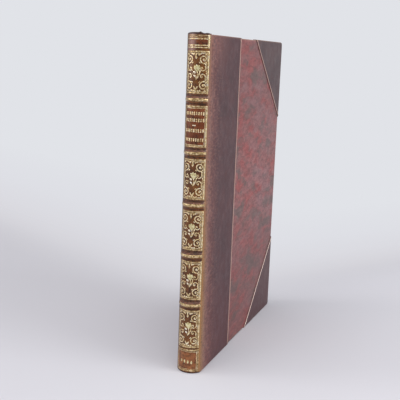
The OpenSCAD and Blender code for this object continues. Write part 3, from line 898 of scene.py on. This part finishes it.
# The title panel has rows of small stamps in place of words, and the tail panel has a row in place of a date
z0, z1 = heights("gilt_title_panel")
double_frame(z0, z1)
dash_z = z0 + (z1 - z0) * 0.53
line((-1.3 * mm, dash_z), (1.3 * mm, dash_z), 0.8 * mm, finish=bright_gold)
stamp_pitch = 1.66 * mm
for row in (0.815, 0.655, 0.405, 0.185):
    z = z0 + (z1 - z0) * row
    for i in range(-4, 5):
        for way in (-1, 1):
            if i % 2:
                drop(i * stamp_pitch, z + way * 0.62 * mm, 1.1 * mm, 1.1 * mm, bulge=0.5 * mm)
            else:
                turn = 0 if way > 0 else math.pi
                drop(i * stamp_pitch, z + way * 0.6 * mm, 1.5 * mm, 1.15 * mm, turn, 0.5 * mm)
pressed("gold_title_panel", "gilt_title_panel")

tail_z1 = heights("gilt_date_panel")[1]
for z, width in (
    (2.2 * mm, 1.3 * mm), (3.5 * mm, hair_w), (tail_z1 - 0.7 * mm, 1.3 * mm), (tail_z1 - 2.0 * mm, hair_w),
):
    level_line(z, width)
for side in (-1, 1):
    upright_line(side * (frame_half - 0.4 * mm), 2.0 * mm, tail_z1, 0.9 * mm)
    upright_line(side * (frame_half - 1.6 * mm), 3.1 * mm, tail_z1 - 1.7 * mm, 0.6 * mm, gold)
for i, tall in enumerate((2.3, 2.6, 2.6, 2.8)):
    drop((i - 1.5) * 2.75 * mm, (9.7 - i * 0.25) * mm, tall * mm, 1.5 * mm, 0, 0.5 * mm, flower_gold)
pressed("gold_date_panel", "gilt_date_panel")

z0, z1 = heights("gilt_head_panel")
for z, width, finish in (
    (z0 + 0.3 * mm, 0.7 * mm, gold), (z0 + 1.8 * mm, 0.7 * mm, gold), (z1 - 0.3 * mm, 0.5 * mm, dull_gold),
    (z1 - 1.5 * mm, 0.6 * mm, dull_gold), (z1 - 2.7 * mm, 0.7 * mm, gold),
):
    level_line(z, width, finish)
upright_line(0.4 * mm - frame_half, z0, z1, 0.9 * mm)
upright_line(frame_half - 0.8 * mm, z0, z1, 1.8 * mm, gold)
pressed("gold_head_panel", "gilt_head_panel")

for middle in band_heights:
    level_line(middle + 0.05 * mm, 2.3 * mm)
    level_line(middle - 0.55 * mm, 0.6 * mm, gold)
pressed("gold_band_lines", "gilt_band_lines")

# Cover leather
# The skin of the spine runs on over each joint and a third of the board, and is turned in at head and tail.
# It is rubbed to tan along the joint, and has darkened with age and handling further on.
strip_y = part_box("front_leather_side")[1].y
cover_x = half_thick
turnin_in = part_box("front_board_infill")[0].x
board_deep = cover_x - turnin_in
turnin_end = leather_t + 15 * mm
edge_r = 1.0 * mm
inner_r = 0.5 * mm
joint_run = 2.4 * mm


def wrapped():
    """The way round the board from turn-in to turn-in, as depth through the board and height."""
    way = [(0.0, inner_r + (turnin_end - inner_r) * (1 - i / 6)) for i in range(7)]
    for i in range(1, 5):
        a = math.pi / 8 * i
        way.append((inner_r * (1 - math.cos(a)), inner_r * (1 - math.sin(a))))
    for i in range(1, 4):
        way.append((inner_r + (board_deep - edge_r - inner_r) * i / 3, 0.0))
    for i in range(1, 7):
        a = math.pi / 12 * i
        way.append((board_deep - edge_r + edge_r * math.sin(a), edge_r * (1 - math.cos(a))))
    up = 56
    middle = [(board_deep, edge_r + (book_h - 2 * edge_r) * i / up) for i in range(1, up)]
    return way + middle + [(d, book_h - z) for d, z in reversed(way)]


def over_joint(y):
    """How far out the leather lies where it leaves the spine, dips at the joint and meets the board."""
    edge = on_spine(sheet_half, 0, 0)
    slope = math.radians(31)
    share = min(max((y - edge.y) / joint_run, 0), 1)
    cubic = (2 * share ** 3 - 3 * share ** 2 + 1) * edge.x + (3 * share ** 2 - 2 * share ** 3) * cover_x
    cubic += (share ** 3 - 2 * share ** 2 + share) * joint_run * math.tan(slope)
    return cubic - 0.22 * mm * math.exp(-((share - 0.42) / 0.2) ** 2)


def puckered(y, z):
    soft = noise.noise(Vector((y * 38, z * 26, 1.7))) * 0.07
    fine = noise.noise(Vector((y * 120, z * 110, 5.2))) * 0.025
    return (soft + fine) * mm


way = wrapped()
spine_edge_y = on_spine(sheet_half, 0, 0).y
side_columns = [0, 0.2, 0.4, 0.6, 0.8, 1.0, 1.25, 1.5, 1.8, 2.1, 2.5, 3, 3.6, 4.4, 5.5, 7, 9, 11.5]
side_columns = [spine_edge_y + v * mm for v in side_columns]
while side_columns[-1] < strip_y - 3.5 * mm:
    side_columns.append(side_columns[-1] + 2.6 * mm)
side_columns += [strip_y - 0.6 * mm, strip_y - 0.25 * mm, strip_y]
last_column, last_step = len(side_columns) - 1, len(way) - 1
side = new_grid("front_calf", last_column, last_step)
thin = side.vertex_groups.new(name="wall")
for v in side.data.vertices:
    y = side_columns[round((v.co.x + 0.5) * last_column)]
    turned, z = way[round((v.co.y + 0.5) * last_step)]
    deep = turned
    on_board = min(max((y - spine_edge_y) / (0.75 * mm), 0), 1)
    if turned < board_deep - edge_r:
        deep = board_deep - (board_deep - turned) * (0.3 + 0.7 * on_board)
        if turned == 0:
            near = min(z, book_h - z) - inner_r
            kept = inner_r + near * (0.05 + 0.95 * on_board)
            z = kept if z < book_h / 2 else book_h - kept
    pared = 0.22 * mm * max(1 - (strip_y - y) / (0.6 * mm), 0)
    x = over_joint(y) - (board_deep - deep)
    if deep > board_deep * 0.99:
        x += puckered(y, z) * min((y - spine_edge_y) / (3 * mm), 1) - pared
    v.co = (x, y, z)
    thin.add([v.index], 0.5 if deep < inner_r else 1.0, "REPLACE")
face_out(side, 0, 1)


def other_side(obj, name):
    """The same piece for the back of the book, with a mesh of its own."""
    only(obj)
    bpy.ops.object.duplicate()
    copy = bpy.context.object
    copy.name = name
    with editing(copy):
        across = (True, False, False)
        bpy.ops.transform.mirror(constraint_axis=across, orient_type="GLOBAL", center_override=(0, 0, 0))
        bpy.ops.mesh.flip_normals()
    return copy


walled(side, leather_t * 0.96)
back_side = other_side(side, "back_calf")


def plus(first, second, share):
    """The first with a share of the second added."""
    return calculate("MULTIPLY_ADD", second, share, first)


def chafed(colour, specks, y, z, at_ends, at_fore_edge, bare):
    """Rubs the turns at head, tail and fore-edge to a paler colour, each from its crest inwards."""
    crest, flat = at_ends
    ends = calculate("MAXIMUM", between(z, book_h - flat, book_h - crest), between(z, flat, crest))
    crest, flat = at_fore_edge
    turns = calculate("MAXIMUM", ends, between(y, fore_y - flat, fore_y - crest))
    return mixed(times(turns, specks), colour, bare)


def aged_calf(name, by_joint, low, middle, high):
    """Calf of the covers: tan where the joint rubs, then red-brown, then a dull purplish brown."""
    finish, shader, place = material(name, 0.45, 0.3)
    pebbles = grained(shader, place, 0.0001)
    x, y, z = split(place)
    blots = grain(place, 55, 4.0, 0.6)
    handled = grain(place, (190, 190, 130), 5.0, 0.7)
    specks = grain(place, 1400, 3.0, 0.6)
    colour = ramp(blots, (0.3, low), (0.52, middle), (0.75, high))
    colour = mixed(times(between(z, 90 * mm, 20 * mm), 0.35), colour, (96, 48, 52))
    if by_joint:
        ragged = plus(plus(y, handled, 0.012), z, 0.03)
        redder = ramp(blots, (0.3, (100, 52, 50)), (0.7, (122, 70, 66)))
        colour = mixed(between(ragged, joint_y + 11 * mm, joint_y + 35 * mm), redder, colour)
        at_head = between(z, book_h - 36 * mm, book_h - 4 * mm)
        at_head = times(at_head, between(y, joint_y + 48 * mm, joint_y + 10 * mm), 0.45)
        colour = mixed(at_head, colour, (134, 86, 80))
        rubbed = ramp(specks, (0.3, (132, 94, 82)), (0.7, (170, 130, 114)))
        tan = ramp(specks, (0.3, (136, 98, 62)), (0.7, (170, 130, 90)))
        tanned = times(between(y, joint_y + 9 * mm, joint_y), between(z, 190 * mm, 70 * mm))
        rubbed = mixed(tanned, rubbed, tan)
        colour = mixed(between(ragged, joint_y + 6 * mm, joint_y + 22 * mm), rubbed, colour)
        flecks = grain(place, (620, 270, 620), 3.0, 0.6)
        near_joint = between(ragged, joint_y + 46 * mm, joint_y + 14 * mm)
        pale = times(near_joint, ramp(flecks, (0.5, 0.0), (0.66, 0.6)))
        dark = times(near_joint, ramp(flecks, (0.34, 0.55), (0.48, 0.0)))
        colour = mixed(dark, mixed(pale, colour, (156, 110, 94)), (66, 40, 46))
    colour = spotted(colour, handled, 0.52, 0.8, 0.35, (120, 84, 76))
    colour = spotted(colour, pebbles, 0.1, 0.6, 0.18, (44, 28, 28))
    specks = ramp(specks, (0.42, 0.0), (0.62, 0.8))
    colour = chafed(colour, specks, y, z, (0.3 * mm, 1.4 * mm), (0.3 * mm, 1.6 * mm), (150, 112, 88))
    feed(colour, shader)
    feed(ramp(handled, (0.3, 0.36), (0.7, 0.54)), shader, "Roughness")
    return finish


fore_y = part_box("front_upper_corner")[1].y
side_finish = aged_calf("joint_calf", True, (66, 37, 41), (79, 46, 50), (93, 58, 59))
for piece, way_round in ((side, "front"), (back_side, "back")):
    dress(piece, side_finish)
    x = cover_x if way_round == "front" else -cover_x
    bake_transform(piece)
    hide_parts(way_round + "_leather_side")

# Leather corners
# A piece of the same calf covers each corner at the fore-edge. It is cut on the slant, rounded with the
# corner of the board, turned in over its edges, and rubbed at the turns.
corner_round = 3.0 * mm
skin_pitch = 4 * mm


def board_skin(name, inset):
    """The whole skin of a board from its joint side to the fore-edge, with its edges turned in."""
    x0, x1 = turnin_in, cover_x - inset
    y0, y1 = strip_y - 5 * mm, fore_y - inset
    z0, z1 = inset, book_h - inset
    near = 0.01 * mm
    only()
    bpy.ops.mesh.primitive_cube_add(
        size=1, location=((x0 + x1) / 2, (y0 + y1) / 2, (z0 + z1) / 2), scale=(x1 - x0, y1 - y0, z1 - z0))
    skin = bpy.context.object
    skin.name = name
    bpy.ops.object.transform_apply(location=True, rotation=True, scale=True)

    def edges_where(test):
        pick(skin, "EDGE", lambda edge: test(*[v.co for v in edge.verts]))

    def in_window(face):
        at = face.calc_center_median()
        return face.normal.x < -0.9 and at.y < fore_y - turnin_end and turnin_end < at.z < book_h - turnin_end

    cuts = []
    for axis, low, high in ((1, y0, y1), (2, z0, z1)):
        count = round((high - low) / skin_pitch)
        cuts += [(axis, low + (high - low) * i / count) for i in range(1, count)]
    cuts += [(2, turnin_end), (2, book_h - turnin_end), (1, fore_y - turnin_end)]
    with editing(skin):
        edges_where(lambda a, b: a.y > y1 - near and b.y > y1 - near and abs(a.z - b.z) < near)
        bpy.ops.mesh.bevel(offset=corner_round - inset, segments=8)
        edges_where(lambda a, b: a.x > x1 - near and b.x > x1 - near and a.y + b.y > 2 * y0 + near)
        bpy.ops.mesh.bevel(offset=edge_r - inset / 2, segments=4)
        edges_where(lambda a, b: a.x < x0 + near and b.x < x0 + near and a.y + b.y > 2 * y0 + near)
        bpy.ops.mesh.bevel(offset=0.4 * mm, segments=2)
        pick(skin, "FACE", lambda face: face.normal.y < -0.99 and face.calc_center_median().y < y0 + near)
        bpy.ops.mesh.delete(type="FACE")
        for axis, at in cuts:
            facing = Vector((0, axis == 1, axis == 2))
            bpy.ops.mesh.select_all(action="SELECT")
            bpy.ops.mesh.bisect(plane_co=facing * at, plane_no=facing)
        pick(skin, "FACE", in_window)
        bpy.ops.mesh.delete(type="FACE")
    return skin


def trimmed(skin, point, normal):
    """Cuts the skin along a plane and keeps the side that the normal points away from."""
    with editing(skin):
        bpy.ops.mesh.bisect(plane_co=point, plane_no=normal, clear_outer=True)


upper_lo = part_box("front_upper_corner")[0]
lower_lo, lower_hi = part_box("front_lower_corner")
slants = {
    "upper": (Vector((0, upper_lo.y, book_h)), Vector((0, fore_y, upper_lo.z))),
    "lower": (Vector((0, lower_lo.y, 0)), Vector((0, fore_y, lower_hi.z))),
}


def slant_normal(which):
    """Points from the paper towards the corner."""
    a, b = slants[which]
    along = (b - a).normalized()
    across = Vector((0, along.z, -along.y))
    corner = Vector((0, fore_y, book_h if which == "upper" else 0))
    return across if (corner - a).dot(across) > 0 else -across


def settled(skin, height=1.0):
    """Lets the face of a skin rise and fall a little, and pares the part that is turned in."""
    thin = skin.vertex_groups.new(name="wall")
    for v in skin.data.vertices:
        if v.co.x > cover_x - 0.75 * mm:
            v.co.x += puckered(v.co.y, v.co.z) * height
        inner = v.co.x < turnin_in + 0.25 * mm
        thin.add([v.index], 0.5 if inner else 1.0, "REPLACE")


corner_finish = aged_calf("corner_calf", False, (66, 47, 50), (81, 59, 60), (95, 71, 70))
for which in ("upper", "lower"):
    corner = board_skin("front_%s_calf_corner" % which, 0.0)
    trimmed(corner, slants[which][0], -slant_normal(which))
    settled(corner)
    walled(corner, leather_t * 0.96)
    back_corner = other_side(corner, "back_%s_calf_corner" % which)
    for piece, way_round in ((corner, "front"), (back_corner, "back")):
        dress(piece, corner_finish)
        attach(piece, way_round + "_cover")
        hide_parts("%s_%s_corner" % (way_round, which))

# Marbled paper
# The rest of each board is covered with paper marbled on a bath of size: drops of red and of grey, pushed
# together into soft blots on a mauve ground. It is glazed, and rubbed along its turned edges.
paper_t = 0.25 * mm
sheet = board_skin("front_marbled_paper", leather_t - paper_t)
trimmed(sheet, (0, strip_y, 0), (0, -1, 0))
for which in ("upper", "lower"):
    trimmed(sheet, slants[which][0], slant_normal(which))
settled(sheet, 0.7)
walled(sheet, paper_t)
back_sheet = other_side(sheet, "back_marbled_paper")

marbled, shader, place = material("marbled_paper", 0.46, 0.45)
drawn = stretched(place, (1.0, 0.42, 1.0))
swirl = wandering(drawn, 150.0, 0.006, Detail=3.0)
x, y, z = split(place)
mottle = grain(swirl, 360, 4.0, 0.75)
fibres = grain(place, 2600, 3.0, 0.6)
mauve = ramp(mottle, (0.36, (104, 52, 50)), (0.5, (134, 76, 74)), (0.64, (154, 98, 96)))
faded = ramp(mottle, (0.36, (110, 66, 68)), (0.5, (136, 90, 92)), (0.64, (152, 110, 110)))
crimson = ramp(mottle, (0.36, (112, 38, 36)), (0.5, (148, 56, 54)), (0.64, (164, 78, 74)))
grey = ramp(mottle, (0.36, (70, 58, 54)), (0.62, (106, 88, 84)))
away = between(y, strip_y, strip_y + 70 * mm)
low = between(z, 130 * mm, 60 * mm)
high = between(z, 150 * mm, 205 * mm)
colour = spotted(mauve, plus(grain(drawn, 42, 2.0, 0.5), away, 0.1), 0.48, 0.66, 0.9, faded)
redder = plus(plus(plus(grain(swirl, 92, 3.0, 0.55), away, -0.05), high, 0.03), low, 0.03)
colour = spotted(colour, redder, 0.45, 0.61, 0.85, crimson)
colour = spotted(colour, plus(grain(swirl, 110, 3.0, 0.55), low, 0.04), 0.5, 0.65, 0.85, grey)
speckle = ramp(grain(drawn, 900, 3.0, 0.6), (0.3, 0.25), (0.5, 0.0))
colour = mixed(speckle, colour, (92, 60, 56))
colour = mixed(plus(times(low, 0.32), high, 0.26), colour, (84, 42, 38))
colour = spotted(colour, fibres, 0.4, 0.8, 0.14, (180, 142, 132))
specks = ramp(fibres, (0.4, 0.0), (0.6, 0.85))
colour = chafed(colour, specks, y, z, (0.7 * mm, 1.8 * mm), (0.8 * mm, 2.0 * mm), (176, 148, 128))
feed(colour, shader)
relief(shader, fibres, 0.00003, 0.6)
for piece, way_round in ((sheet, "front"), (back_sheet, "back")):
    dress(piece, marbled)
    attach(piece, way_round + "_cover")
    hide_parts(way_round + "_marbled_side")

# Gilt lines of the covers
# A gold line is rolled on the leather along each edge that meets the paper: one up the side and one across
# each corner. The gold is thin and dulled by handling, and left paler and whiter on the corner lines low
# down.
cover_gold, shader, place = material("rubbed_gold_line", 0.42, 0.5, 0.3)
rubbing = grain(place, 500, 4.0, 0.65)
x, y, z = split(place)
# The corner lines low on the board are left paler and whiter than the rest.
paler_lower_corner = times(between(z, 125 * mm, 95 * mm), between(y, strip_y + 1 * mm, strip_y + 3 * mm))
colour = ramp(rubbing, (0.3, (226, 188, 170)), (0.5, (246, 216, 202)), (0.72, (252, 236, 226)))
feed(mixed(paler_lower_corner, mixed(0.72, colour, (150, 106, 92)), colour), shader)


def laid_on_board(name, way_round, node):
    sign = 1 if way_round == "front" else -1
    gilt = laid(name, lambda y, z, h: (sign * (cover_x + puckered(y, z) + h * 0.16 + 0.02 * mm), y, z))
    dress(gilt, cover_gold)
    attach(gilt, way_round + "_cover")
    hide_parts(node)


line_y = strip_y - 1.25 * mm
for way_round in ("front", "back"):
    for which in ("upper", "lower"):
        a, b = slants[which]
        inward = slant_normal(which) * 0.75 * mm
        start, end = Vector((a.y, a.z)), Vector((b.y, b.z))
        short = (end - start).normalized() * 1.3 * mm
        off = Vector((inward.y, inward.z))
        line(start + off + short, end + off - short, 1.5 * mm, 3 * mm)
    laid_on_board(way_round + "_gold_corner_lines", way_round, way_round + "_corner_fillets")
    line((line_y, 1.0 * mm), (line_y, book_h - 1.0 * mm), 1.8 * mm, 3 * mm)
    laid_on_board(way_round + "_gold_side_line", way_round, way_round + "_side_fillet")
